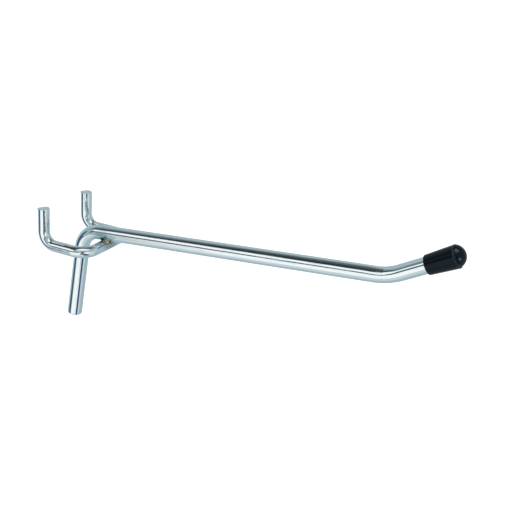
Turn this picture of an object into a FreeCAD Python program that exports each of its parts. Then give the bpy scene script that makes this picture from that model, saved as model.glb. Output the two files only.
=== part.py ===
import FreeCAD, Part
import math
import os
import Sketcher

# Pegboard hook. Two bent wires are welded together where the arm crosses the prong wire's bar,
# and a push-on cap covers the end of the arm's nose.
# The frame's origin lies midway between the two prongs, on their axes' level and in the plane of
# the upturned tips. +X points away from the board along the arm, and +Z points up.
# Lengths are in millimetres and angles in degrees.

SIZES = {
    "peg_pitch": (25.4, "between the two prongs' axes"),
    "prong_wire_dia": (4.2, "wire of the prongs and their cross bar"),
    "tip_height": (13.4, "top of the upturned tips above the prongs' axes"),
    "tip_bend_radius": (4.8, "bend at the foot of each tip, on the wire's axis"),
    "prong_reach": (18.4, "from the tips' axes forward to the cross bar's axis"),
    "loop_bend_radius": (5.6, "bend at each end of the cross bar, on the wire's axis"),
    "tip_end_chamfer": (0.2, "broken edge on the tips' cut ends"),
    "arm_wire_dia": (5.5, "wire of the leg, arm and nose"),
    "leg_offset": (8.45, "from the tips' axes forward to the corner of leg and arm"),
    "leg_length": (35.3, "from that corner to the leg's end"),
    "leg_lean": (7.3, "lean of the leg's foot towards the board"),
    "leg_bend_radius": (8.4, "bend between leg and arm, on the wire's axis"),
    "arm_length": (118.0, "from the corner of leg and arm to the corner of arm and nose"),
    "arm_tilt": (5.3, "rise of the arm away from the board"),
    "nose_turn": (24.3, "turn of the nose up from the arm"),
    "nose_bend_radius": (21.2, "bend between arm and nose, on the wire's axis"),
    "nose_bare_length": (13.8, "from the corner of arm and nose to the cap's mouth"),
    "arm_end_chamfer": (0.45, "broken edge on the arm wire's cut ends"),
    "weld_setdown": (0.45, "depth that the arm is pressed into the cross bar"),
    "weld_length": (5.2, "weld flash along the arm"),
    "weld_width": (5.8, "weld flash along the cross bar"),
    "weld_height": (2.5, "weld flash from top to bottom"),
    "cap_grip": (9.4, "length of nose inside the cap"),
    "cap_clearance": (0.05, "between the nose and the cap's bore, on the radius"),
    "cap_mouth_dia": (6.45, "outside of the cap at its mouth"),
    "cap_shoulder_dia": (7.6, "outside of the cap at its shoulder"),
    "cap_skirt_length": (9.8, "from the cap's mouth to its shoulder"),
    "cap_dome_height": (2.7, "from the cap's shoulder to the top of its dome"),
    "cap_ledge": (0.3, "step from the shoulder's edge in to the foot of the dome"),
    "cap_shoulder_chamfer": (0.15, "broken edge of the cap's shoulder"),
    "cap_lip_chamfer": (0.15, "broken outer edge of the cap's mouth"),
}

# Two points or radii closer than this are the same one.
SAME_PLACE = 0.001

doc = FreeCAD.newDocument("pegboard_hook")
size = {name: value for name, (value, meaning) in SIZES.items()}


def make_sheet():
    """Writes the driving dimensions, one row each: meaning, value and the value's alias."""
    sheet = doc.addObject("Spreadsheet::Sheet", "sizes")
    for row, (name, (value, meaning)) in enumerate(SIZES.items(), start=1):
        sheet.set(f"A{row}", meaning)
        sheet.set(f"B{row}", str(value))
        sheet.setAlias(f"B{row}", name)
    doc.recompute()


def new_sketch(body, name, plane_role):
    """Adds a sketch on one of the body's own origin planes."""
    sketch = body.newObject("Sketcher::SketchObject", name)
    plane = next(item for item in body.Origin.OriginFeatures if item.Role == plane_role)
    sketch.AttachmentSupport = [(plane, "")]
    sketch.MapMode = "FlatFace"
    return sketch


def drive(sketch, kind, *args, name, formula):
    """Adds a dimension to a sketch and binds it to a formula of the sheet's cells."""
    index = sketch.addConstraint(Sketcher.Constraint(kind, *args))
    sketch.renameConstraint(index, name)
    sketch.setExpression(f"Constraints.{name}", formula)


def heading(degrees):
    """Unit vector in a sketch at an angle from its first axis."""
    return FreeCAD.Vector(math.cos(math.radians(degrees)), math.sin(math.radians(degrees)), 0)


def lay_bent_path(sketch, corners, radius_names):
    """Draws straight runs with tangent bends inside a construction line that passes through the corners.

    Returns the construction lines, which carry the path's dimensions.
    """
    skeleton = []
    for first, last in zip(corners, corners[1:]):
        skeleton.append(sketch.addGeometry(Part.LineSegment(first, last), True))
    for before, after in zip(skeleton, skeleton[1:]):
        sketch.addConstraint(Sketcher.Constraint("Coincident", before, 2, after, 1))

    up = FreeCAD.Vector(0, 0, 1)
    ways = [(last - first).normalize() for first, last in zip(corners, corners[1:])]
    run_ends = [corners[0]]
    bends = []
    for corner, way_in, way_out, radius_name in zip(corners[1:], ways, ways[1:], radius_names):
        radius = size[radius_name]
        turn = way_in.getAngle(way_out)
        side = 1 if way_in.cross(way_out).z > 0 else -1
        setback = radius * math.tan(turn / 2)
        start = corner - way_in * setback
        centre = start + up.cross(way_in) * (side * radius)
        from_angle = math.atan2(start.y - centre.y, start.x - centre.x)
        span = sorted((from_angle, from_angle + side * turn))
        bends.append((Part.ArcOfCircle(Part.Circle(centre, up, radius), *span), side, radius_name))
        run_ends += [start, corner + way_out * setback]
    run_ends.append(corners[-1])

    runs = []
    for number, line in enumerate(skeleton):
        first, last = run_ends[2 * number], run_ends[2 * number + 1]
        run = sketch.addGeometry(Part.LineSegment(first, last))
        runs.append(run)
        start_kind = "Coincident" if number == 0 else "PointOnObject"
        end_kind = "Coincident" if number == len(skeleton) - 1 else "PointOnObject"
        start_on = (line, 1) if number == 0 else (line,)
        end_on = (line, 2) if number == len(skeleton) - 1 else (line,)
        sketch.addConstraint(Sketcher.Constraint(start_kind, run, 1, *start_on))
        sketch.addConstraint(Sketcher.Constraint(end_kind, run, 2, *end_on))
        if number < len(bends):
            arc, side, radius_name = bends[number]
            bends[number] = (sketch.addGeometry(arc), side, radius_name)
    for number, (bend, side, radius_name) in enumerate(bends):
        start, end = (1, 2) if side > 0 else (2, 1)
        sketch.addConstraint(Sketcher.Constraint("Tangent", runs[number], 2, bend, start))
        sketch.addConstraint(Sketcher.Constraint("Tangent", bend, end, runs[number + 1], 1))
        radius = size[radius_name]
        drive(sketch, "Radius", bend, radius, name=f"bend_{number + 1}", formula=f"sizes.{radius_name}")
    return skeleton


def draw_wire(body, name, path, diameter_name):
    """Sweeps the wire's round section along a path."""
    section = body.newObject("Sketcher::SketchObject", f"{name}_section")
    section.AttachmentSupport = [(path, "Edge1")]
    section.MapMode = "NormalToEdge"
    section.MapPathParameter = 0
    radius = size[diameter_name] / 2
    circle = section.addGeometry(Part.Circle(FreeCAD.Vector(0, 0, 0), FreeCAD.Vector(0, 0, 1), radius))
    section.addConstraint(Sketcher.Constraint("Coincident", circle, 3, -1, 1))
    drive(section, "Diameter", circle, 2 * radius, name="wire", formula=f"sizes.{diameter_name}")
    doc.recompute()
    pipe = body.newObject("PartDesign::AdditivePipe", name)
    pipe.Profile = section
    pipe.Spine = path
    doc.recompute()
    return pipe


def rims_at(shape, centre, radius):
    """Names of a shape's circular edges with the given centre and radius."""
    names = []
    for number, edge in enumerate(shape.Edges, start=1):
        if edge.Degenerated or not isinstance(edge.Curve, Part.Circle):
            continue
        if edge.Curve.Center.isEqual(centre, SAME_PLACE) and abs(edge.Curve.Radius - radius) < SAME_PLACE:
            names.append(f"Edge{number}")
    return names


def break_rims(body, name, base, centres, radius, chamfer_name):
    """Chamfers the circular edges with the given centres and radius."""
    rims = [rim for centre in centres for rim in rims_at(base.Shape, centre, radius)]
    chamfer = body.newObject("PartDesign::Chamfer", name)
    chamfer.Base = (base, rims)
    chamfer.setExpression("Size", f"sizes.{chamfer_name}")
    doc.recompute()


# Height of the arm's axis where it crosses the cross bar, and of the corner of leg and arm behind it.
CROSSING_HEIGHT = (
    "(sizes.arm_wire_dia / 2 / cos(sizes.arm_tilt * 1 deg) + sizes.prong_wire_dia / 2 - sizes.weld_setdown)"
)
CORNER_HEIGHT = f"({CROSSING_HEIGHT} - (sizes.prong_reach - sizes.leg_offset) * tan(sizes.arm_tilt * 1 deg))"
NOSE_ANGLE = "((sizes.arm_tilt + sizes.nose_turn) * 1 deg)"


def make_arm_wire():
    """Leg, arm and upturned nose, bent from one wire in the hook's middle plane."""
    body = doc.addObject("PartDesign::Body", "arm_body")
    body.Label = "arm_wire"
    path = new_sketch(body, "arm_path", "XZ_Plane")
    arm_tilt = size["arm_tilt"]
    nose_length = size["nose_bare_length"] + size["cap_grip"]
    slope = math.tan(math.radians(arm_tilt))
    arm_half_height = size["arm_wire_dia"] / 2 / math.cos(math.radians(arm_tilt))
    crossing_height = arm_half_height + size["prong_wire_dia"] / 2 - size["weld_setdown"]
    crossing_point = FreeCAD.Vector(size["prong_reach"], crossing_height, 0)
    corner_height = crossing_height - (size["prong_reach"] - size["leg_offset"]) * slope
    corner = FreeCAD.Vector(size["leg_offset"], corner_height, 0)
    foot = corner - heading(90 - size["leg_lean"]) * size["leg_length"]
    front = corner + heading(arm_tilt) * size["arm_length"]
    nose_end = front + heading(arm_tilt + size["nose_turn"]) * nose_length
    bends = ["leg_bend_radius", "nose_bend_radius"]
    leg, arm, nose = lay_bent_path(path, [foot, corner, front, nose_end], bends)

    crossing = path.addGeometry(Part.Point(crossing_point), True)
    path.addConstraint(Sketcher.Constraint("PointOnObject", crossing, 1, arm))
    to_crossing = (-1, 1, crossing, 1)
    reach = size["prong_reach"]
    drive(path, "DistanceX", *to_crossing, reach, name="crossing_reach", formula="sizes.prong_reach")
    drive(path, "DistanceY", *to_crossing, crossing_height, name="crossing_height", formula=CROSSING_HEIGHT)
    drive(path, "DistanceX", -1, 1, arm, 1, corner.x, name="leg_offset", formula="sizes.leg_offset")
    drive(path, "Distance", leg, size["leg_length"], name="leg_length", formula="sizes.leg_length")
    drive(path, "Distance", arm, size["arm_length"], name="arm_length", formula="sizes.arm_length")
    nose_formula = "sizes.nose_bare_length + sizes.cap_grip"
    drive(path, "Distance", nose, nose_length, name="nose_length", formula=nose_formula)
    leg_angle = math.radians(90 - size["leg_lean"])
    drive(path, "Angle", leg, leg_angle, name="leg_angle", formula="(90 - sizes.leg_lean) * 1 deg")
    drive(path, "Angle", arm, math.radians(arm_tilt), name="arm_angle", formula="sizes.arm_tilt * 1 deg")
    nose_angle = math.radians(arm_tilt + size["nose_turn"])
    drive(path, "Angle", nose, nose_angle, name="nose_angle", formula=NOSE_ANGLE)
    doc.recompute()

    wire = draw_wire(body, "arm_sweep", path, "arm_wire_dia")
    ends = [FreeCAD.Vector(point.x, 0, point.y) for point in (foot, nose_end)]
    break_rims(body, "arm_ends", wire, ends, size["arm_wire_dia"] / 2, "arm_end_chamfer")
    return body


def make_prong_wire(arm):
    """U-bent wire with two upturned tips, seated on the underside of the arm."""
    body = doc.addObject("PartDesign::Body", "prong_body")
    half_pitch = size["peg_pitch"] / 2
    reach = size["prong_reach"]
    # The sweeps of loop and tip meet halfway along each prong's straight stretch.
    meeting = (size["tip_bend_radius"] + reach - size["loop_bend_radius"]) / 2
    meeting_formula = "(sizes.tip_bend_radius + sizes.prong_reach - sizes.loop_bend_radius) / 2"

    loop = new_sketch(body, "loop_path", "XY_Plane")
    corners = [(meeting, -half_pitch), (reach, -half_pitch), (reach, half_pitch), (meeting, half_pitch)]
    corners = [FreeCAD.Vector(x, y, 0) for x, y in corners]
    near, bar, far = lay_bent_path(loop, corners, ["loop_bend_radius"] * 2)
    loop.addConstraint(Sketcher.Constraint("Horizontal", near))
    loop.addConstraint(Sketcher.Constraint("Horizontal", far))
    loop.addConstraint(Sketcher.Constraint("Symmetric", bar, 1, bar, 2, -1))
    loop.addConstraint(Sketcher.Constraint("Vertical", near, 1, far, 2))
    drive(loop, "DistanceX", -1, 1, bar, 1, reach, name="reach", formula="sizes.prong_reach")
    drive(loop, "DistanceX", -1, 1, near, 1, meeting, name="meeting", formula=meeting_formula)
    drive(loop, "Distance", bar, 2 * half_pitch, name="pitch", formula="sizes.peg_pitch")
    doc.recompute()
    draw_wire(body, "loop_sweep", loop, "prong_wire_dia")

    tip = new_sketch(body, "tip_path", "XZ_Plane")
    tip.setExpression("AttachmentOffset.Base.z", "sizes.peg_pitch / 2")
    corners = [(0, size["tip_height"]), (0, 0), (meeting, 0)]
    corners = [FreeCAD.Vector(x, z, 0) for x, z in corners]
    upright, prong = lay_bent_path(tip, corners, ["tip_bend_radius"])
    tip.addConstraint(Sketcher.Constraint("Coincident", prong, 1, -1, 1))
    tip.addConstraint(Sketcher.Constraint("Vertical", upright))
    tip.addConstraint(Sketcher.Constraint("Horizontal", prong))
    drive(tip, "Distance", upright, size["tip_height"], name="tip_height", formula="sizes.tip_height")
    drive(tip, "Distance", prong, meeting, name="meeting", formula=meeting_formula)
    doc.recompute()
    tip_sweep = draw_wire(body, "tip_sweep", tip, "prong_wire_dia")

    other_tip = body.newObject("PartDesign::Mirrored", "other_tip")
    middle = next(item for item in body.Origin.OriginFeatures if item.Role == "XZ_Plane")
    other_tip.Originals = [tip_sweep]
    other_tip.MirrorPlane = (middle, [""])
    body.Tip = other_tip
    doc.recompute()
    tops = [FreeCAD.Vector(0, side * half_pitch, size["tip_height"]) for side in (-1, 1)]
    break_rims(body, "tip_ends", other_tip, tops, size["prong_wire_dia"] / 2, "tip_end_chamfer")

    seated = doc.addObject("Part::Cut", "prong_seated")
    seated.Label = "prong_wire"
    seated.Base = body
    seated.Tool = arm
    doc.recompute()
    return seated


def make_weld_bead(arm, prong):
    """Ring of weld flash that fills the wedge round the contact of arm and cross bar."""
    flash = doc.addObject("Part::Ellipsoid", "weld_flash")
    flash.setExpression("Radius1", "sizes.weld_height / 2")
    flash.setExpression("Radius2", "sizes.weld_length / 2")
    flash.setExpression("Radius3", "sizes.weld_width / 2")
    flash.setExpression("Placement.Base.x", "sizes.prong_reach")
    flash.setExpression("Placement.Base.z", "(sizes.prong_wire_dia - sizes.weld_setdown) / 2")
    under_arm = doc.addObject("Part::Cut", "flash_under_arm")
    under_arm.Base = flash
    under_arm.Tool = arm
    bead = doc.addObject("Part::Cut", "flash_on_bar")
    bead.Label = "weld_bead"
    bead.Base = under_arm
    bead.Tool = prong
    doc.recompute()
    return bead


def make_end_cap():
    """Push-on cap, flared from its mouth to its shoulder, with a stepped-in dome and a blind bore."""
    body = doc.addObject("PartDesign::Body", "cap_body")
    body.Label = "end_cap"
    outline = new_sketch(body, "cap_outline", "XZ_Plane")
    bore_radius = size["arm_wire_dia"] / 2 + size["cap_clearance"]
    mouth_radius = size["cap_mouth_dia"] / 2
    shoulder_radius = size["cap_shoulder_dia"] / 2
    skirt = size["cap_skirt_length"]
    dome = size["cap_dome_height"]
    grip = size["cap_grip"]
    dome_base = shoulder_radius - size["cap_ledge"]
    dome_radius = (dome_base**2 + dome**2) / (2 * dome)
    dome_centre = skirt + dome - dome_radius

    corners = [(0, grip), (bore_radius, grip), (bore_radius, 0), (mouth_radius, 0)]
    corners += [(shoulder_radius, skirt), (dome_base, skirt)]
    corners = [FreeCAD.Vector(x, z, 0) for x, z in corners]
    lines = [outline.addGeometry(Part.LineSegment(a, b)) for a, b in zip(corners, corners[1:])]
    floor, bore, lip, flank, ledge = lines
    circle = Part.Circle(FreeCAD.Vector(0, dome_centre, 0), FreeCAD.Vector(0, 0, 1), dome_radius)
    start_angle = math.atan2(skirt - dome_centre, dome_base)
    arc = outline.addGeometry(Part.ArcOfCircle(circle, start_angle, math.pi / 2))
    core = outline.addGeometry(Part.LineSegment(FreeCAD.Vector(0, skirt + dome, 0), corners[0]))
    loop = [floor, bore, lip, flank, ledge, arc, core]
    for before, after in zip(loop, loop[1:] + loop[:1]):
        outline.addConstraint(Sketcher.Constraint("Coincident", before, 2, after, 1))
    outline.addConstraint(Sketcher.Constraint("Horizontal", floor))
    outline.addConstraint(Sketcher.Constraint("Horizontal", ledge))
    outline.addConstraint(Sketcher.Constraint("Vertical", bore))
    outline.addConstraint(Sketcher.Constraint("PointOnObject", lip, 1, -1))
    outline.addConstraint(Sketcher.Constraint("PointOnObject", lip, 2, -1))
    outline.addConstraint(Sketcher.Constraint("PointOnObject", arc, 3, -2))
    outline.addConstraint(Sketcher.Constraint("PointOnObject", core, 1, -2))
    outline.addConstraint(Sketcher.Constraint("PointOnObject", core, 2, -2))
    bore_formula = "sizes.arm_wire_dia / 2 + sizes.cap_clearance"
    top_formula = "sizes.cap_skirt_length + sizes.cap_dome_height"
    drive(outline, "DistanceX", -1, 1, lip, 1, bore_radius, name="bore", formula=bore_formula)
    drive(outline, "DistanceX", -1, 1, lip, 2, mouth_radius, name="mouth", formula="sizes.cap_mouth_dia / 2")
    shoulder_formula = "sizes.cap_shoulder_dia / 2"
    drive(outline, "DistanceX", -1, 1, flank, 2, shoulder_radius, name="shoulder", formula=shoulder_formula)
    drive(outline, "Distance", ledge, size["cap_ledge"], name="ledge", formula="sizes.cap_ledge")
    drive(outline, "DistanceY", -1, 1, flank, 2, skirt, name="skirt", formula="sizes.cap_skirt_length")
    drive(outline, "DistanceY", -1, 1, core, 1, skirt + dome, name="top", formula=top_formula)
    drive(outline, "DistanceY", -1, 1, floor, 1, grip, name="grip", formula="sizes.cap_grip")
    doc.recompute()

    turned = body.newObject("PartDesign::Revolution", "cap_turned")
    turned.Profile = outline
    turned.ReferenceAxis = (outline, ["V_Axis"])
    turned.Angle = 360
    doc.recompute()
    shoulder_centre = FreeCAD.Vector(0, 0, skirt)
    break_rims(body, "cap_shoulder", turned, [shoulder_centre], shoulder_radius, "cap_shoulder_chamfer")
    mouth_centre = FreeCAD.Vector(0, 0, 0)
    break_rims(body, "cap_lip", body.Tip, [mouth_centre], mouth_radius, "cap_lip_chamfer")

    across = FreeCAD.Vector(0, 1, 0)
    body.Placement.Rotation = FreeCAD.Rotation(across, 90 - size["arm_tilt"] - size["nose_turn"])
    mouth_x = "sizes.leg_offset + sizes.arm_length * cos(sizes.arm_tilt * 1 deg)"
    mouth_z = f"{CORNER_HEIGHT} + sizes.arm_length * sin(sizes.arm_tilt * 1 deg)"
    body.setExpression("Placement.Base.x", f"{mouth_x} + sizes.nose_bare_length * cos({NOSE_ANGLE})")
    body.setExpression("Placement.Base.z", f"{mouth_z} + sizes.nose_bare_length * sin({NOSE_ANGLE})")
    body.setExpression("Placement.Rotation.Angle", f"90 deg - {NOSE_ANGLE}")
    doc.recompute()
    return body


def write_parts(pieces):
    """Checks the whole document, then writes each piece to a file of its own."""
    for item in doc.Objects:
        if "Invalid" in item.State or "Error" in item.State:
            raise RuntimeError(f"{item.Name} failed: {item.State}")
    for piece in pieces:
        if piece.Shape.isNull() or not piece.Shape.isValid():
            raise RuntimeError(f"{piece.Label} has no valid solid")
    os.makedirs("parts", exist_ok=True)
    for piece in pieces:
        piece.Shape.exportStep(f"parts/{piece.Label}.step")
        print(piece.Label, len(piece.Shape.Solids), round(piece.Shape.Volume, 2))


make_sheet()
arm_wire = make_arm_wire()
prong_wire = make_prong_wire(arm_wire)
weld_bead = make_weld_bead(arm_wire, prong_wire)
end_cap = make_end_cap()
write_parts([arm_wire, prong_wire, weld_bead, end_cap])
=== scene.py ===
"""The looks of a pegboard hook: two bright zinc wires, the weld that joins them and a black end cap."""
import math
from collections import namedtuple

import bpy
import numpy as np
from mathutils import Matrix, Vector, noise


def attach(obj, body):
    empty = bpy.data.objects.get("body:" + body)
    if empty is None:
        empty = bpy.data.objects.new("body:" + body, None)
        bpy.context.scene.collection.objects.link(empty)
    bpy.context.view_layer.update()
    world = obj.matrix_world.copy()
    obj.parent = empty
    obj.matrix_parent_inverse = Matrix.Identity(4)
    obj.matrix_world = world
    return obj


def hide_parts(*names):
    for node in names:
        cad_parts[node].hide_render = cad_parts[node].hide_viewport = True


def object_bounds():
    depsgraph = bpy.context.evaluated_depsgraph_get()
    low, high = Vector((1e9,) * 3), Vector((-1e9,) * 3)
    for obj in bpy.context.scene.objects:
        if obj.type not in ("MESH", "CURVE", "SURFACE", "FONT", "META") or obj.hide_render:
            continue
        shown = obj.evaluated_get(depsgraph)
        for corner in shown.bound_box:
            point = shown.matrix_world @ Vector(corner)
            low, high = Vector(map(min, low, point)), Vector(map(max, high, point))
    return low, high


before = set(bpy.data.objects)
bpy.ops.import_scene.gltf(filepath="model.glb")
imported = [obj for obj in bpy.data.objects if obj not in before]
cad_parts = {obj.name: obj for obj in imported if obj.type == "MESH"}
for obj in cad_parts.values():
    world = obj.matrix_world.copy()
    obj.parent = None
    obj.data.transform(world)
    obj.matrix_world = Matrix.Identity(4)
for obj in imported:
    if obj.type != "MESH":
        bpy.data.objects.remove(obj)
cad_low, cad_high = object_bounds()

# Shapes are given in millimetres and degrees, and meshes, stage and camera are in metres.
MM = 0.001

# The two wires, with the solids' own sizes.
PEG_PITCH = 25.4
PRONG_RADIUS = 2.1
TIP_HEIGHT = 13.4
TIP_BEND = 4.8
PRONG_REACH = 18.4
LOOP_BEND = 5.6
ARM_RADIUS = 2.75
LEG_OFFSET = 8.45
LEG_LENGTH = 35.3
LEG_LEAN = 7.3
LEG_BEND = 8.4
ARM_LENGTH = 118.0
ARM_TILT = 5.3
NOSE_TURN = 24.3
NOSE_BEND = 21.2
NOSE_BARE = 13.8
WELD_SETDOWN = 0.45
CAP_GRIP = 9.4

# Finish of the wires. Drawn wire is faintly wavy, and its cut ends have rounded rims. Cold bending
# flattens the section of a bend and widens it by a share of that, and eases in over some rings.
ARM_WAVINESS = 0.004
PRONG_WAVINESS = 0.011
WAVE_GRAIN = 0.55
ARM_RIM = 0.5
PRONG_RIM = 0.14
BEND_SQUEEZE = 0.025
BEND_WIDENING = 0.5
BEND_EASE = 6

# The bending tool's faint dent inside the nose bend. MARK_SIDE is where it fades in, as shares of the
# wire's radius.
MARK_DEPTH = 0.05
MARK_LENGTH = 0.7
MARK_END = 4 * MARK_LENGTH
MARK_SHIFT = -0.6
MARK_SIDE = (0.36, 0.8)

# The sheared ends of the tips: a small lip on one side, a cut that sags towards it and, on the near
# tip, leans. LIP_SIDE and SAG_SIDE are where these fade in, as shares of the wire's radius.
LIP_WAY = Vector((-0.95, -0.3, 0)).normalized()
LIP_RISE = 0.07
LIP_REACH = 0.22
LIP_DEPTH = 1.2
LIP_SIDE = (0.72, 1.0)
CUT_SAG = 0.10
SAG_SIDE = (-0.2, 0.9)
CUT_LEAN = 0.30

# How far from their wire's axis, along X, the tips' ends and the cross bar's seat are looked for.
TIP_ZONE = 1.2 * PRONG_RADIUS
SEAT_ZONE = 2 * PRONG_RADIUS

# The weld bead: half the solid's size each way, and how far it sits forward, with a shorter back. Its
# lumps are pairs of height, as a share of that size, and grain.
WELD_HALF = Vector((2.6, 2.9, 1.25))
WELD_SHIFT = Vector((0.4, 0, 0))
WELD_BACK_SHARE = 0.72
WELD_REACH = 0.96
WELD_LUMPS = ((0.16, 2.2), (0.10, 5.3), (0.05, 11.0))

# The cap, as the photograph shows it: 0.3 mm longer than the solid, and its radius about 0.05 mm larger.
# Bore, mouth, shoulder and the dome's base are radii. The wear, which is partly a painted highlight along
# the shoulder's edge, fades over some rings of the dome.
CAP_CREEP = 0.2
BORE_DEPTH = CAP_GRIP + CAP_CREEP
CAP_BORE = 2.8
CAP_MOUTH = 3.29
CAP_SHOULDER = 3.85
CAP_SKIRT = 10.35
CAP_DOME = 2.45
CAP_LIP = 0.15
CAP_EDGE = 0.36
DOME_BASE = 3.60
DOME_LIFT = 0.2
SHOULDER_WEAR_AND_SHEEN = 1.0
DOME_WEAR_AND_SHEEN = 0.4
DOME_SHEEN_RINGS = 4

# How finely the pieces are meshed: the distance between a wire's rings, counts, and the rings of a cut
# end's flat face as shares of its radius.
RING_STEP = 0.45
LEAST_RUN_RINGS = 2
LEAST_BEND_RINGS = 6
ARM_SIDES = 96
PRONG_SIDES = 80
RIM_STEPS = 5
WELD_ROWS = 56
WELD_COLUMNS = 112
CAP_SIDES = 128
LIP_STEPS = 6
SKIRT_STEPS = 24
SHOULDER_STEPS = 5
DOME_STEPS = 30
END_FACE_RINGS = (0.85, 0.6, 0.3)

# The camera, as the photograph was taken.
CAMERA_PLACE = (0.1990, -0.2575, 0.1220)
CAMERA_AZIMUTH = 24.91
CAMERA_ELEVATION = 21.52
CAMERA_ROLL = -4.39
CAMERA_LENS = 63.45
SENSOR_WIDTH = 36.0
CAMERA_NEAR = 0.01

# The floor, and the distance of the lamps from the hook's middle.
FLOOR_DROP = 0.15
FLOOR_HALF = 6.0
FLOOR_TONE = 0.86
FLOOR_GLOW = 0.55
LAMP_DISTANCE = 1.0


def rgba(red, green, blue):
    return (red, green, blue, 1.0)


# In the materials below, a noise is its scale, detail and roughness. A ramp is where it starts and ends
# and, unless it goes from 0 to 1, what it gives there. A bump is its height in metres.
NOISE_MIDDLE = 0.5

# Heat colours round the weld. Their dark teal, on the board's side, is partly heat tint and partly painted
# shade of the crevice between the arm and the cross bar. Their ramps read millimetres.
STRAW = rgba(0.66, 0.60, 0.34)
BROWN = rgba(0.42, 0.25, 0.11)
TEAL_AND_CREVICE_SHADE = rgba(0.07, 0.15, 0.17)
HEAT_GRAIN = (0.9, 3.0, 0.5)
COLOUR_RAGGED = 2.2
EDGE_RAGGED = 3.0
SHADED_TEAL_TO_STRAW = (0.1, 0.7)
STRAW_TO_BROWN = (1.7, 2.4)

# Zinc plate on the wires. Its noises read places on the unbent wire, in millimetres.
ZINC = rgba(0.885, 0.95, 0.96)
ZINC_COOL = rgba(0.80, 0.91, 0.95)
ZINC_WARM = rgba(0.92, 0.94, 0.91)
STEEL_BLUE = rgba(0.38, 0.53, 0.60)
LINES_STRETCH = (1.0, 1.0, 0.02)
HAZE_STRETCH = (1.0, 1.0, 0.05)
DRAW_LINES = (3.2, 4.0, 0.6)
FINE_LINES = (9.0, 3.0, 0.6)
HAZE = (2.2, 4.0, 0.65)
CLOUDS = (0.16, 3.0, 0.5)
PLATE_GRAIN = (2.6, 2.0, 0.5)
COOL_CLOUDS = (0.45, 0.75, 0.0, 0.55)
WARM_CLOUDS = (0.48, 0.22, 0.0, 0.35)
BLUE_HEAT = (6.0, 3.2, 0.0, 0.8)
BURNT_HEAT = (3.3, 2.5, 0.0, 0.8)
LINE_ROUGHNESS = (0.3, 0.75, 0.05, 0.10)
HAZE_ROUGHNESS = (0.50, 0.68, 0.0, 0.20)
HEAT_ROUGHNESS = (5.5, 2.6, 0.0, 0.2)
LINE_HEIGHT = 0.5
FINE_LINE_HEIGHT = 0.2
GRAIN_HEIGHT = 0.5
PLATE_BUMP = 0.000006

# Weld metal. Its noises read places in metres.
# The near-black colour below is painted shade of pits in the weld metal, laid on random patches.
PIT_SHADE = rgba(0.015, 0.02, 0.022)
WELD_PATCHES = (1100.0, 2.0, 0.5)
WELD_SCALE = (2600.0, 3.0, 0.6)
BRIGHT_SPOTS = (0.57, 0.63, 0.0, 0.8)
PIT_SHADE_SPOTS = (0.46, 0.41, 0.0, 0.9)
WELD_ROUGHNESS = (0.3, 0.7, 0.14, 0.36)
WELD_BUMP = 0.00002

# Black vinyl of the cap. Its noises read places in metres.
VINYL = rgba(0.0020, 0.0028, 0.0042)
VINYL_DUSTY = rgba(0.007, 0.0095, 0.0135)
# The lighter vinyl below is partly wear and partly a painted highlight along the shoulder's edge.
VINYL_WEAR_AND_SHEEN = rgba(0.022, 0.030, 0.040)
VINYL_GLOSS = rgba(0.52, 0.76, 1.0)
VINYL_SPECULAR = 0.26
MOTTLE = (700.0, 3.0, 0.5)
VINYL_GRAIN = (7000.0, 3.0, 0.6)
SHEEN_SCUFFS = (0.35, 0.65, 0.35, 1.0)
DUST_SHARE = 0.35
VINYL_ROUGHNESS = (0.3, 0.7, 0.13, 0.22)
VINYL_BUMP = 0.000004

# Tones of the studio that the bright wires mirror, and the plain light of the room.
WHITE = rgba(1.0, 1.0, 1.0)
PALE = rgba(0.60, 0.67, 0.71)
SKY = rgba(0.46, 0.62, 0.72)
GREY = rgba(0.39, 0.48, 0.52)
DIM = rgba(0.09, 0.11, 0.11)
DARK = rgba(0.05, 0.09, 0.14)
NAVY = rgba(0.02, 0.08, 0.16)
BLACK = rgba(0.02, 0.03, 0.04)
ROOM_LIGHT = rgba(0.65, 0.65, 0.65)

# The studio's cards. Each reaches from left to right and from bottom to top, in degrees, and has the
# widths of its soft edges, beside and above, and its tone. Later cards cover earlier ones.
ALL_ROUND = (-360, 360)
STUDIO = {
    "ceiling": (ALL_ROUND, (50, 140), (10, 20), DIM),
    "left_ceiling": ((-80, -10), (30, 70), (30, 40), BLACK),
    "floor": (ALL_ROUND, (-120, -45), (10, 20), GREY),
    "back_wall": ((110, 250), (-10, 50), (20, 30), GREY),
    "right_side": ((55, 105), (-45, 15), (15, 15), PALE),
    "left_side": ((-145, -85), (-40, 10), (20, 15), SKY),
    "table": ((-45, 75), (-45, 10), (5, 35), WHITE),
    "apron": ((-60, 50), (-75, -45), (20, 25), PALE),
    "softbox": ((-50, -15), (15, 40), (5, 5), WHITE),
    "horizon": ((-50, 20), (3, 16), (5, 2), DARK),
    "left_gap": ((-75, -35), (-35, 15), (20, 15), DARK),
    "right_gap": ((45, 75), (-50, -20), (10, 5), NAVY),
    "side_card": ((55, 70), (-10, 10), (5, 5), WHITE),
    "camera": ((30, 45), (-10, 30), (10, 5), DARK),
    "tripod": ((25, 55), (-30, -10), (5, 5), BLACK),
    "top_light": ((-10, 100), (50, 90), (20, 5), WHITE),
}


def heading(degrees):
    """Direction in the hook's middle plane at an angle above the horizontal."""
    angle = math.radians(degrees)
    return Vector((math.cos(angle), 0, math.sin(angle)))


def bearing(azimuth, elevation):
    """Direction from the hook into the room. Azimuth 0 is towards -Y and grows towards +X."""
    turn = math.radians(azimuth)
    rise = math.radians(elevation)
    return Vector((math.sin(turn) * math.cos(rise), -math.cos(turn) * math.cos(rise), math.sin(rise)))


def smooth(low, high, value):
    """Eases from 0 at low to 1 at high."""
    t = min(max((value - low) / (high - low), 0), 1)
    return t * t * (3 - 2 * t)


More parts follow.
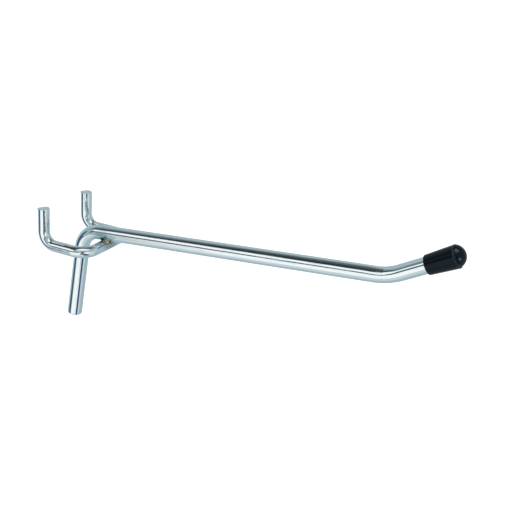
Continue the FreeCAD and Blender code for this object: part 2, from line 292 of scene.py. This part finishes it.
# Corners of the two wires' axes, before the bends round them off.
slope = math.tan(math.radians(ARM_TILT))
crossing = Vector((
    PRONG_REACH,
    0,
    ARM_RADIUS / math.cos(math.radians(ARM_TILT)) + PRONG_RADIUS - WELD_SETDOWN,
))
leg_corner = Vector((LEG_OFFSET, 0, crossing.z - (PRONG_REACH - LEG_OFFSET) * slope))
foot = leg_corner - heading(90 - LEG_LEAN) * LEG_LENGTH
nose_corner = leg_corner + heading(ARM_TILT) * ARM_LENGTH
nose_way = heading(ARM_TILT + NOSE_TURN)
cap_mouth = nose_corner + nose_way * (NOSE_BARE - CAP_CREEP)
wire_end = nose_corner + nose_way * (NOSE_BARE + CAP_GRIP)
ARM_CORNERS = [foot, leg_corner, nose_corner, wire_end]
ARM_BENDS = [LEG_BEND, NOSE_BEND]

half_pitch = PEG_PITCH / 2
PRONG_CORNERS = [
    Vector((0, -half_pitch, TIP_HEIGHT)),
    Vector((0, -half_pitch, 0)),
    Vector((PRONG_REACH, -half_pitch, 0)),
    Vector((PRONG_REACH, half_pitch, 0)),
    Vector((0, half_pitch, 0)),
    Vector((0, half_pitch, TIP_HEIGHT)),
]
PRONG_BENDS = [TIP_BEND, LOOP_BEND, LOOP_BEND, TIP_BEND]
weld_centre = Vector((PRONG_REACH, 0, PRONG_RADIUS - WELD_SETDOWN / 2))

# A station is a point of a wire's axis. Its inward way, to the bend's centre, is None on straight runs.
Station = namedtuple("Station", "centre way inward")

# A section is a ring of a wire: where it lies, its share of the radius and how a bend flattens it.
Section = namedtuple("Section", "centre way side along share inward squeeze")


def straight_run(start, end, way):
    """Stations along a straight run, without its end."""
    length = (end - start).length
    count = max(LEAST_RUN_RINGS, round(length / RING_STEP))
    return [Station(start + way * (length * step / count), way, None) for step in range(count)]


def bent_path(corners, radii):
    """Stations along straight runs and the tangent bends between them."""
    stations = []
    start = corners[0]
    for before, corner, after, radius in zip(corners, corners[1:], corners[2:], radii):
        way = (corner - before).normalized()
        way_out = (after - corner).normalized()
        turn = way.angle(way_out)
        trim = radius * math.tan(turn / 2)
        end = corner - way * trim
        stations += straight_run(start, end, way)
        side = (way_out - way * way.dot(way_out)).normalized()
        middle = end + side * radius
        count = max(LEAST_BEND_RINGS, round(radius * turn / RING_STEP))
        for step in range(count):
            angle = turn * step / count
            outward = way * math.sin(angle) - side * math.cos(angle)
            along = way * math.cos(angle) + side * math.sin(angle)
            stations.append(Station(middle + outward * radius, along, -outward))
        start = corner + way_out * trim
    last_way = (corners[-1] - corners[-2]).normalized()
    stations += straight_run(start, corners[-1], last_way)
    stations.append(Station(corners[-1], last_way, None))
    return stations


def rounded_end(radius, rim):
    """Rings of a cut end, from its rounded rim inwards: share of the radius and depth from the end."""
    rings = []
    for step in range(RIM_STEPS + 1):
        angle = math.pi / 2 * step / RIM_STEPS
        rings.append((1 - rim / radius * (1 - math.cos(angle)), rim * (1 - math.sin(angle))))
    face = rings[-1][0]
    return rings + [(face * share, 0) for share in END_FACE_RINGS]


def bend_squeeze(stations, number):
    """How a bend flattens the section at a station: the way to its centre, and the eased amount."""
    near = stations[max(0, number - BEND_EASE):number + BEND_EASE + 1]
    share = sum(station.inward is not None for station in near) / len(near)
    bent = [other for other, station in enumerate(stations) if station.inward is not None]
    nearest = min(bent, key=lambda other: abs(other - number))
    return stations[nearest].inward, BEND_SQUEEZE * share


def wire_sections(stations, end_rings):
    """Sections from end to end of a wire, turned with its path but not twisted."""
    side = stations[0].way.orthogonal().normalized()
    previous = stations[0].centre
    travelled = 0.0
    swept = []
    for number, (centre, way, _) in enumerate(stations):
        travelled += (centre - previous).length
        side = (side - way * side.dot(way)).normalized()
        swept.append(Section(centre, way, side, travelled, 1, *bend_squeeze(stations, number)))
        previous = centre
    rim = end_rings[0][1]
    first = swept[0]
    last = swept[-1]
    sections = []
    for share, depth in reversed(end_rings):
        sections.append(first._replace(centre=first.centre + first.way * depth, along=depth, share=share))
    sections += [section for section in swept if rim < section.along < travelled - rim]
    for share, depth in end_rings:
        centre = last.centre - last.way * depth
        sections.append(last._replace(centre=centre, along=travelled - depth, share=share))
    return sections


def closed_tube(rings, start, end):
    """Skins rings of points that run anticlockwise, seen from the end, and closes both ends to a point."""
    sides = len(rings[0])
    points = [point for ring in rings for point in ring] + [start, end]
    last = (len(rings) - 1) * sides
    neighbours = [(side, (side + 1) % sides) for side in range(sides)]
    faces = []
    for low in range(0, last, sides):
        high = low + sides
        faces += [(low + side, low + after, high + after, high + side) for side, after in neighbours]
    faces += [(after, side, len(points) - 2) for side, after in neighbours]
    faces += [(last + side, last + after, len(points) - 1) for side, after in neighbours]
    return points, faces


def wire_mesh(stations, radius, sides, waviness, rim):
    """Sweeps a wire's section along its path and closes both ends.

    Returns the points, the faces and each point's place on the wire before it was bent.
    """
    sections = wire_sections(stations, rounded_end(radius, rim))
    rings, unbent = [], []
    for section in sections:
        second = section.way.cross(section.side)
        ring = []
        for number in range(sides):
            angle = 2 * math.pi * number / sides
            out = section.side * math.cos(angle) + second * math.sin(angle)
            place = Vector((math.cos(angle) * radius, math.sin(angle) * radius, section.along))
            reach = (radius + waviness * noise.noise(place * WAVE_GRAIN)) * section.share
            facing = out.dot(section.inward) ** 2
            reach *= 1 + section.squeeze * (BEND_WIDENING - (1 + BEND_WIDENING) * facing)
            ring.append(section.centre + out * reach)
            unbent.append(place)
        rings.append(ring)
    start, end = (sum(ring, Vector()) / sides for ring in (rings[0], rings[-1]))
    unbent += [Vector((0, 0, section.along)) for section in (sections[0], sections[-1])]
    points, faces = closed_tube(rings, start, end)
    return points, faces, unbent


def new_piece(name, points, faces, node, material):
    """Makes a smooth-shaded mesh, in metres, that stands for a CAD node."""
    mesh = bpy.data.meshes.new(name)
    mesh.from_pydata([point * MM for point in points], [], faces)
    mesh.validate()
    mesh.polygons.foreach_set("use_smooth", [True] * len(mesh.polygons))
    mesh.materials.append(material)
    piece = bpy.data.objects.new(name, mesh)
    bpy.context.scene.collection.objects.link(piece)
    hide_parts(node)
    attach(piece, "root")
    return piece


def store_vectors(piece, name, vectors):
    """Keeps a vector for each vertex, for the materials to read."""
    layer = piece.data.attributes.new(name, "FLOAT_VECTOR", "POINT")
    layer.data.foreach_set("vector", np.array(vectors, dtype=np.float32).ravel())


def press_mark(point):
    """Leaves the faint dent of the bending tool on the inner side of the nose bend."""
    half_turn = ARM_TILT + NOSE_TURN / 2
    offset = point - nose_corner
    along = offset.dot(heading(half_turn)) - MARK_SHIFT
    if abs(along) > MARK_END:
        return point
    inward = heading(half_turn + 90)
    share = offset.dot(inward) / ARM_RADIUS
    dent = MARK_DEPTH * math.exp(-(along / MARK_LENGTH) ** 2) * smooth(*MARK_SIDE, share)
    return point - inward * dent


def make_arm(material):
    """Leg, arm and nose: one wire with rounded cropped ends."""
    stations = bent_path(ARM_CORNERS, ARM_BENDS)
    points, faces, unbent = wire_mesh(stations, ARM_RADIUS, ARM_SIDES, ARM_WAVINESS, ARM_RIM)
    points = [press_mark(point) for point in points]
    piece = new_piece("arm_wire_plated", points, faces, "arm_wire", material)
    store_vectors(piece, "unbent", unbent)


def seat_on_arm(point):
    """Presses a point of the cross bar out of the arm's round underside."""
    axis = heading(ARM_TILT)
    from_axis = point - crossing
    from_axis = from_axis - axis * from_axis.dot(axis)
    reach = from_axis.length
    if reach >= ARM_RADIUS or abs(point.x - PRONG_REACH) > SEAT_ZONE:
        return point
    return point + from_axis.normalized() * (ARM_RADIUS - reach)


def shear_tip(point):
    """Draws out the small lip that the shear leaves on one side of a tip's end, and tilts the cut."""
    depth = TIP_HEIGHT - point.z
    if depth > LIP_DEPTH or point.x > TIP_ZONE:
        return point
    middle = Vector((0, math.copysign(half_pitch, point.y), point.z))
    share = ((point - middle) / PRONG_RADIUS).dot(LIP_WAY)
    near_end = smooth(LIP_DEPTH, 0.0, depth)
    lip = smooth(*LIP_SIDE, share) * near_end
    rise = LIP_RISE * lip - CUT_SAG * smooth(*SAG_SIDE, share) * near_end
    if point.y < 0:
        rise += CUT_LEAN * (1 - share) / 2 * near_end
    return point + LIP_WAY * (LIP_REACH * lip) + Vector((0, 0, rise))


def make_prongs(material):
    """Cross bar, prongs and upturned tips: one wire with sheared ends."""
    stations = bent_path(PRONG_CORNERS, PRONG_BENDS)
    points, faces, unbent = wire_mesh(stations, PRONG_RADIUS, PRONG_SIDES, PRONG_WAVINESS, PRONG_RIM)
    points = [shear_tip(seat_on_arm(point)) for point in points]
    piece = new_piece("prong_wire_plated", points, faces, "prong_wire", material)
    store_vectors(piece, "unbent", unbent)


def weld_point(row, column):
    """Point of the weld's lumpy skin. Rows go from its top to its bottom, and columns round it."""
    polar = math.pi * row / WELD_ROWS
    turn = 2 * math.pi * column / WELD_COLUMNS
    way = Vector((math.sin(polar) * math.cos(turn), math.sin(polar) * math.sin(turn), math.cos(polar)))
    lumps = sum(height * noise.noise(way * grain) for height, grain in WELD_LUMPS)
    half = WELD_HALF * (WELD_REACH + lumps)
    if way.x < 0:
        half.x *= WELD_BACK_SHARE
    return weld_centre + WELD_SHIFT + way * half


def make_weld(material):
    """Lumpy bead of weld metal where the arm sits on the cross bar. The wires hide its middle."""
    rings = []
    for row in range(WELD_ROWS - 1, 0, -1):
        rings.append([weld_point(row, column) for column in range(WELD_COLUMNS)])
    points, faces = closed_tube(rings, weld_point(WELD_ROWS, 0), weld_point(0, 0))
    new_piece("weld_bead_scaly", points, faces, "weld_bead", material)


def cap_profile():
    """Outline of the cap from its bore, round the mouth, up the skirt and over the dome to near its top.

    Each point is a radius, a height above the mouth, its wear and painted highlight, and its share of the
    dome's offset.
    """
    outline = [(CAP_BORE, BORE_DEPTH, 0, 0), (CAP_BORE, 2 * CAP_LIP, 0, 0)]
    middle, half = (CAP_BORE + CAP_MOUTH) / 2, (CAP_MOUTH - CAP_BORE) / 2
    for step in range(LIP_STEPS + 1):
        angle = math.pi * step / LIP_STEPS
        outline.append((middle - half * math.cos(angle), CAP_LIP * (1 - math.sin(angle)), 0, 0))
    flare = (CAP_SHOULDER - CAP_MOUTH) / CAP_SKIRT
    for step in range(1, SKIRT_STEPS):
        height = (CAP_SKIRT - CAP_EDGE) * step / SKIRT_STEPS
        outline.append((CAP_MOUTH + flare * height, height, 0, 0))
    for step in range(SHOULDER_STEPS + 1):
        share = step / SHOULDER_STEPS
        angle = math.pi / 2 * share
        radius = CAP_SHOULDER - CAP_EDGE * (1 - math.cos(angle))
        outline.append((radius, CAP_SKIRT - CAP_EDGE * (1 - math.sin(angle)), SHOULDER_WEAR_AND_SHEEN, share))
    dome_radius = (DOME_BASE ** 2 + CAP_DOME ** 2) / (2 * CAP_DOME)
    base_angle = math.atan2(DOME_BASE, dome_radius - CAP_DOME)
    for step in range(DOME_STEPS):
        angle = base_angle * (1 - step / DOME_STEPS)
        height = CAP_SKIRT + CAP_DOME - dome_radius * (1 - math.cos(angle))
        painted_sheen_and_wear = DOME_WEAR_AND_SHEEN * smooth(DOME_SHEEN_RINGS, 0, step)
        outline.append((dome_radius * math.sin(angle), height, painted_sheen_and_wear, 1))
    return outline


def make_cap(material):
    """Push-on cap turned round the nose's axis, open at its mouth and closed over the wire's end."""
    across = Vector((0, 1, 0))
    upward = nose_way.cross(across)
    rings, painted_sheen_and_wear = [], []
    for radius, height, wear_and_sheen, lifted in cap_profile():
        middle = cap_mouth + nose_way * height + upward * (DOME_LIFT * lifted)
        ring = []
        for side in range(CAP_SIDES):
            turn = 2 * math.pi * side / CAP_SIDES
            ring.append(middle + (across * math.cos(turn) + upward * math.sin(turn)) * radius)
            painted_sheen_and_wear.append(Vector((wear_and_sheen, 0, 0)))
        rings.append(ring)
    bore_end = cap_mouth + nose_way * BORE_DEPTH
    dome_top = cap_mouth + nose_way * (CAP_SKIRT + CAP_DOME) + upward * DOME_LIFT
    points, faces = closed_tube(rings, bore_end, dome_top)
    painted_sheen_and_wear += [Vector(), Vector()]
    piece = new_piece("end_cap_vinyl", points, faces, "end_cap", material)
    store_vectors(piece, "wear_and_sheen", painted_sheen_and_wear)
    return piece


class Nodes:
    """Short ways to add and link the nodes of one material or world."""

    def __init__(self, owner):
        owner.use_nodes = True
        self.tree = owner.node_tree
        self.tree.nodes.clear()

    def add(self, kind, **settings):
        node = self.tree.nodes.new(kind)
        for name, value in settings.items():
            setattr(node, name, value)
        return node

    def put(self, target, value):
        """Links an output to an input, or sets the input's own value."""
        if isinstance(value, bpy.types.NodeSocket):
            self.tree.links.new(value, target)
        else:
            target.default_value = value

    def math(self, operation, *values):
        node = self.add("ShaderNodeMath", operation=operation)
        for target, value in zip(node.inputs, values):
            self.put(target, value)
        return node.outputs[0]

    def vector(self, operation, *values):
        node = self.add("ShaderNodeVectorMath", operation=operation)
        for target, value in zip(node.inputs, values):
            self.put(target, value)
        return node.outputs["Value"] if operation == "LENGTH" else node.outputs[0]

    def split(self, vector):
        """The three parts of a vector."""
        node = self.add("ShaderNodeSeparateXYZ")
        self.put(node.inputs[0], vector)
        return node.outputs

    def ramp(self, value, low, high, to_low=0.0, to_high=1.0):
        """Eases a value from one range to another."""
        node = self.add("ShaderNodeMapRange", interpolation_type="SMOOTHSTEP")
        for target, item in zip(node.inputs, (value, low, high, to_low, to_high)):
            self.put(target, item)
        return node.outputs[0]

    def noise(self, place, scale, detail, roughness):
        node = self.add("ShaderNodeTexNoise")
        self.put(node.inputs["Vector"], place)
        for name, value in (("Scale", scale), ("Detail", detail), ("Roughness", roughness)):
            self.put(node.inputs[name], value)
        return node.outputs[0]

    def mix(self, factor, first, second):
        """Mixes two colours. The node has sockets for other kinds of value before those for colours."""
        node = self.add("ShaderNodeMix", data_type="RGBA")
        self.put(node.inputs[0], factor)
        self.put(node.inputs[6], first)
        self.put(node.inputs[7], second)
        return node.outputs[2]

    def bump(self, height, distance):
        node = self.add("ShaderNodeBump")
        self.put(node.inputs["Strength"], 1.0)
        self.put(node.inputs["Distance"], distance)
        self.put(node.inputs["Height"], height)
        return node.outputs[0]

    def principled(self, **inputs):
        """Adds the surface and its output. Underscores stand for the spaces in the inputs' names."""
        shader = self.add("ShaderNodeBsdfPrincipled")
        for name, value in inputs.items():
            self.put(shader.inputs[name.replace("_", " ")], value)
        output = self.add("ShaderNodeOutputMaterial")
        self.put(output.inputs["Surface"], shader.outputs[0])


def heat_and_crevice_shade_colours(nodes, place):
    """Burnt colours round the weld, teal on the board's side, straw in the middle and brown in front. The
    teal is partly painted shade of the crevice between the arm and the cross bar.

    Returns the colour and the distance from the weld's middle, in millimetres, with a ragged edge.
    """
    offset = nodes.vector("SUBTRACT", place, tuple(weld_centre * MM))
    offset = nodes.vector("MULTIPLY", offset, (1 / MM, 1 / MM, 1 / MM))
    ragged = nodes.math("SUBTRACT", nodes.noise(offset, *HEAT_GRAIN), NOISE_MIDDLE)
    forward = nodes.math("MULTIPLY_ADD", ragged, COLOUR_RAGGED, nodes.split(offset)[0])
    # Painted shade: the dark teal on the board's side also stands in for the shade of the crevice there.
    colour = nodes.mix(nodes.ramp(forward, *SHADED_TEAL_TO_STRAW), TEAL_AND_CREVICE_SHADE, STRAW)
    colour = nodes.mix(nodes.ramp(forward, *STRAW_TO_BROWN), colour, BROWN)
    spread = nodes.math("MULTIPLY_ADD", ragged, EDGE_RAGGED, nodes.vector("LENGTH", offset))
    return colour, spread


def zinc_material():
    """Bright zinc plate on drawn wire, with faint draw lines and heat colours round the weld, whose dark
    teal is partly painted crevice shade.
    """
    material = bpy.data.materials.new("zinc_plate")
    nodes = Nodes(material)
    unbent = nodes.add("ShaderNodeAttribute", attribute_name="unbent").outputs["Vector"]
    place = nodes.add("ShaderNodeTexCoord").outputs["Object"]
    stretched = nodes.vector("MULTIPLY", unbent, LINES_STRETCH)
    lines = nodes.noise(stretched, *DRAW_LINES)
    fine_lines = nodes.noise(stretched, *FINE_LINES)
    haze = nodes.noise(nodes.vector("MULTIPLY", unbent, HAZE_STRETCH), *HAZE)
    clouds = nodes.noise(unbent, *CLOUDS)
    grain = nodes.noise(unbent, *PLATE_GRAIN)
    burnt_and_shaded, spread = heat_and_crevice_shade_colours(nodes, place)

    # The weld's heat leaves blue furthest out and burnt colours close to it, among them a dark teal that
    # is partly painted crevice shade.
    colour = nodes.mix(nodes.ramp(clouds, *COOL_CLOUDS), ZINC, ZINC_COOL)
    colour = nodes.mix(nodes.ramp(clouds, *WARM_CLOUDS), colour, ZINC_WARM)
    colour = nodes.mix(nodes.ramp(spread, *BLUE_HEAT), colour, STEEL_BLUE)
    colour = nodes.mix(nodes.ramp(spread, *BURNT_HEAT), colour, burnt_and_shaded)

    roughness = nodes.ramp(lines, *LINE_ROUGHNESS)
    roughness = nodes.math("ADD", roughness, nodes.ramp(haze, *HAZE_ROUGHNESS))
    roughness = nodes.math("ADD", roughness, nodes.ramp(spread, *HEAT_ROUGHNESS))
    height = nodes.math("MULTIPLY", lines, LINE_HEIGHT)
    height = nodes.math("MULTIPLY_ADD", fine_lines, FINE_LINE_HEIGHT, height)
    height = nodes.math("MULTIPLY_ADD", grain, GRAIN_HEIGHT, height)
    normal = nodes.bump(height, PLATE_BUMP)
    nodes.principled(Base_Color=colour, Metallic=1.0, Roughness=roughness, Normal=normal)
    return material


def weld_material():
    """Burnt weld metal with painted shade in pits and a few bright spots of zinc. Its dark teal is partly
    painted crevice shade.
    """
    material = bpy.data.materials.new("weld_zinc")
    nodes = Nodes(material)
    place = nodes.add("ShaderNodeTexCoord").outputs["Object"]
    burnt_and_shaded, _ = heat_and_crevice_shade_colours(nodes, place)
    patches = nodes.noise(place, *WELD_PATCHES)
    scale = nodes.noise(place, *WELD_SCALE)
    colour = nodes.mix(nodes.ramp(patches, *BRIGHT_SPOTS), burnt_and_shaded, ZINC)
    # Painted shade: random patches of the weld are darkened to near-black as shaded pits.
    colour = nodes.mix(nodes.ramp(patches, *PIT_SHADE_SPOTS), colour, PIT_SHADE)
    roughness = nodes.ramp(scale, *WELD_ROUGHNESS)
    normal = nodes.bump(scale, WELD_BUMP)
    nodes.principled(Base_Color=colour, Metallic=1.0, Roughness=roughness, Normal=normal)
    return material


def vinyl_material():
    """Soft black vinyl with a fine grain and a scuffed shoulder, whose lighter colour is partly wear and
    partly a painted highlight along its edge.
    """
    material = bpy.data.materials.new("black_vinyl")
    nodes = Nodes(material)
    place = nodes.add("ShaderNodeTexCoord").outputs["Object"]
    wear_and_sheen = nodes.add("ShaderNodeAttribute", attribute_name="wear_and_sheen").outputs["Vector"]
    mottle = nodes.noise(place, *MOTTLE)
    grain = nodes.noise(place, *VINYL_GRAIN)
    # Painted highlight: the shoulder and the dome's edge are lightened where the rim would catch the
    # light, broken up by the mottle like scuffs, and partly wear.
    scuffed_sheen = nodes.math("MULTIPLY", nodes.split(wear_and_sheen)[0], nodes.ramp(mottle, *SHEEN_SCUFFS))
    colour = nodes.mix(nodes.math("MULTIPLY", mottle, DUST_SHARE), VINYL, VINYL_DUSTY)
    colour = nodes.mix(scuffed_sheen, colour, VINYL_WEAR_AND_SHEEN)
    roughness = nodes.ramp(mottle, *VINYL_ROUGHNESS)
    normal = nodes.bump(grain, VINYL_BUMP)
    nodes.principled(
        Base_Color=colour, Metallic=0.0, Roughness=roughness, Specular_IOR_Level=VINYL_SPECULAR,
        Specular_Tint=VINYL_GLOSS, Normal=normal,
    )
    return material


def make_camera():
    """Camera at the photograph's place, turn and roll."""
    back = bearing(CAMERA_AZIMUTH, CAMERA_ELEVATION)
    right = Vector((0, 0, 1)).cross(back).normalized()
    up = back.cross(right)
    roll = math.radians(CAMERA_ROLL)
    turned_right = right * math.cos(roll) - up * math.sin(roll)
    turned_up = right * math.sin(roll) + up * math.cos(roll)
    data = bpy.data.cameras.new("camera")
    data.lens = CAMERA_LENS
    data.sensor_width = SENSOR_WIDTH
    data.clip_start = CAMERA_NEAR
    camera = bpy.data.objects.new("camera", data)
    bpy.context.scene.collection.objects.link(camera)
    turn = Matrix((turned_right, turned_up, back)).transposed()
    camera.matrix_world = Matrix.Translation(CAMERA_PLACE) @ turn.to_4x4()
    bpy.context.scene.camera = camera


def floor_material():
    """Pale and matte, with a glow that only the camera and clear or glossy surfaces would see."""
    material = bpy.data.materials.new("pale_floor")
    nodes = Nodes(material)
    paths = nodes.add("ShaderNodeLightPath")
    shown = nodes.math("MAXIMUM", paths.outputs["Is Camera Ray"], paths.outputs["Is Glossy Ray"])
    shown = nodes.math("MAXIMUM", shown, paths.outputs["Is Transmission Ray"])
    matte = nodes.add("ShaderNodeBsdfDiffuse")
    nodes.put(matte.inputs["Color"], rgba(FLOOR_TONE, FLOOR_TONE, FLOOR_TONE))
    glow = nodes.add("ShaderNodeEmission")
    nodes.put(glow.inputs["Strength"], nodes.math("MULTIPLY", shown, FLOOR_GLOW))
    both = nodes.add("ShaderNodeAddShader")
    nodes.put(both.inputs[0], matte.outputs[0])
    nodes.put(both.inputs[1], glow.outputs[0])
    output = nodes.add("ShaderNodeOutputMaterial")
    nodes.put(output.inputs["Surface"], both.outputs[0])
    return material


def make_floor():
    """Plain pale floor below the hook. It takes the soft shadow, but is brighter than white to the camera.

    The wires don't mirror it: they mirror the studio's cards.
    """
    level = cad_low.z - FLOOR_DROP
    mesh = bpy.data.meshes.new("floor")
    flat_corners = ((-1, -1), (1, -1), (1, 1), (-1, 1))
    corners = [(x * FLOOR_HALF, y * FLOOR_HALF, level) for x, y in flat_corners]
    mesh.from_pydata(corners, [], [(0, 1, 2, 3)])
    mesh.materials.append(floor_material())
    floor = bpy.data.objects.new("floor", mesh)
    bpy.context.scene.collection.objects.link(floor)
    floor.visible_glossy = False
    return floor


def card_mask(nodes, offset, half, edge):
    """Eases from 1 on a card to 0 beside it, by the angle from its middle."""
    return nodes.ramp(nodes.math("ABSOLUTE", offset), half + edge / 2, half - edge / 2)


def make_world():
    """White to the camera, a studio of white and dark cards in the metal, and plain light elsewhere."""
    world = bpy.data.worlds.new("studio")
    bpy.context.scene.world = world
    nodes = Nodes(world)
    x, y, z = nodes.split(nodes.add("ShaderNodeTexCoord").outputs["Generated"])
    azimuth = nodes.math("DEGREES", nodes.math("ARCTAN2", x, nodes.math("MULTIPLY", y, -1.0)))
    elevation = nodes.math("DEGREES", nodes.math("ARCSINE", z))
    mirrored = GREY
    for (left, right), (bottom, top), (side_edge, top_edge), tone in STUDIO.values():
        beside = nodes.math("SUBTRACT", azimuth, (left + right) / 2)
        beside = nodes.math("WRAP", beside, 180.0, -180.0)
        above = nodes.math("SUBTRACT", elevation, (bottom + top) / 2)
        across = card_mask(nodes, beside, (right - left) / 2, side_edge)
        upright = card_mask(nodes, above, (top - bottom) / 2, top_edge)
        mirrored = nodes.mix(nodes.math("MULTIPLY", across, upright), mirrored, tone)
    paths = nodes.add("ShaderNodeLightPath")
    seen = nodes.math("MAXIMUM", paths.outputs["Is Camera Ray"], paths.outputs["Is Transmission Ray"])
    colour = nodes.mix(paths.outputs["Is Glossy Ray"], ROOM_LIGHT, mirrored)
    colour = nodes.mix(seen, colour, WHITE)
    background = nodes.add("ShaderNodeBackground")
    nodes.put(background.inputs["Color"], colour)
    output = nodes.add("ShaderNodeOutputWorld")
    nodes.put(output.inputs["Surface"], background.outputs[0])


def make_lamp(name, azimuth, elevation, size, brightness, lit):
    """Square soft lamp. Its energy grows with its area, so its face is as bright at any size.

    It lights only what is in the collection lit: the bright wires mirror the studio's cards instead.
    """
    way = bearing(azimuth, elevation)
    data = bpy.data.lights.new(name, "AREA")
    data.shape = "SQUARE"
    data.size = size
    data.energy = brightness * math.pi * size ** 2
    lamp = bpy.data.objects.new(name, data)
    bpy.context.scene.collection.objects.link(lamp)
    lamp.location = (cad_low + cad_high) / 2 + way * LAMP_DISTANCE
    lamp.rotation_mode = "QUATERNION"
    lamp.rotation_quaternion = (-way).to_track_quat("-Z", "Y")
    lamp.light_linking.receiver_collection = lit


zinc = zinc_material()
make_arm(zinc)
make_prongs(zinc)
make_weld(weld_material())
lamp_lit = bpy.data.collections.new("lamp_lit")
lamp_lit.objects.link(make_cap(vinyl_material()))
make_camera()
lamp_lit.objects.link(make_floor())
make_world()
make_lamp("top_lamp", azimuth=80, elevation=75, size=0.5, brightness=4.0, lit=lamp_lit)
make_lamp("side_lamp", azimuth=70, elevation=1, size=0.2, brightness=11.0, lit=lamp_lit)
bpy.context.scene.view_settings.view_transform = "Standard"
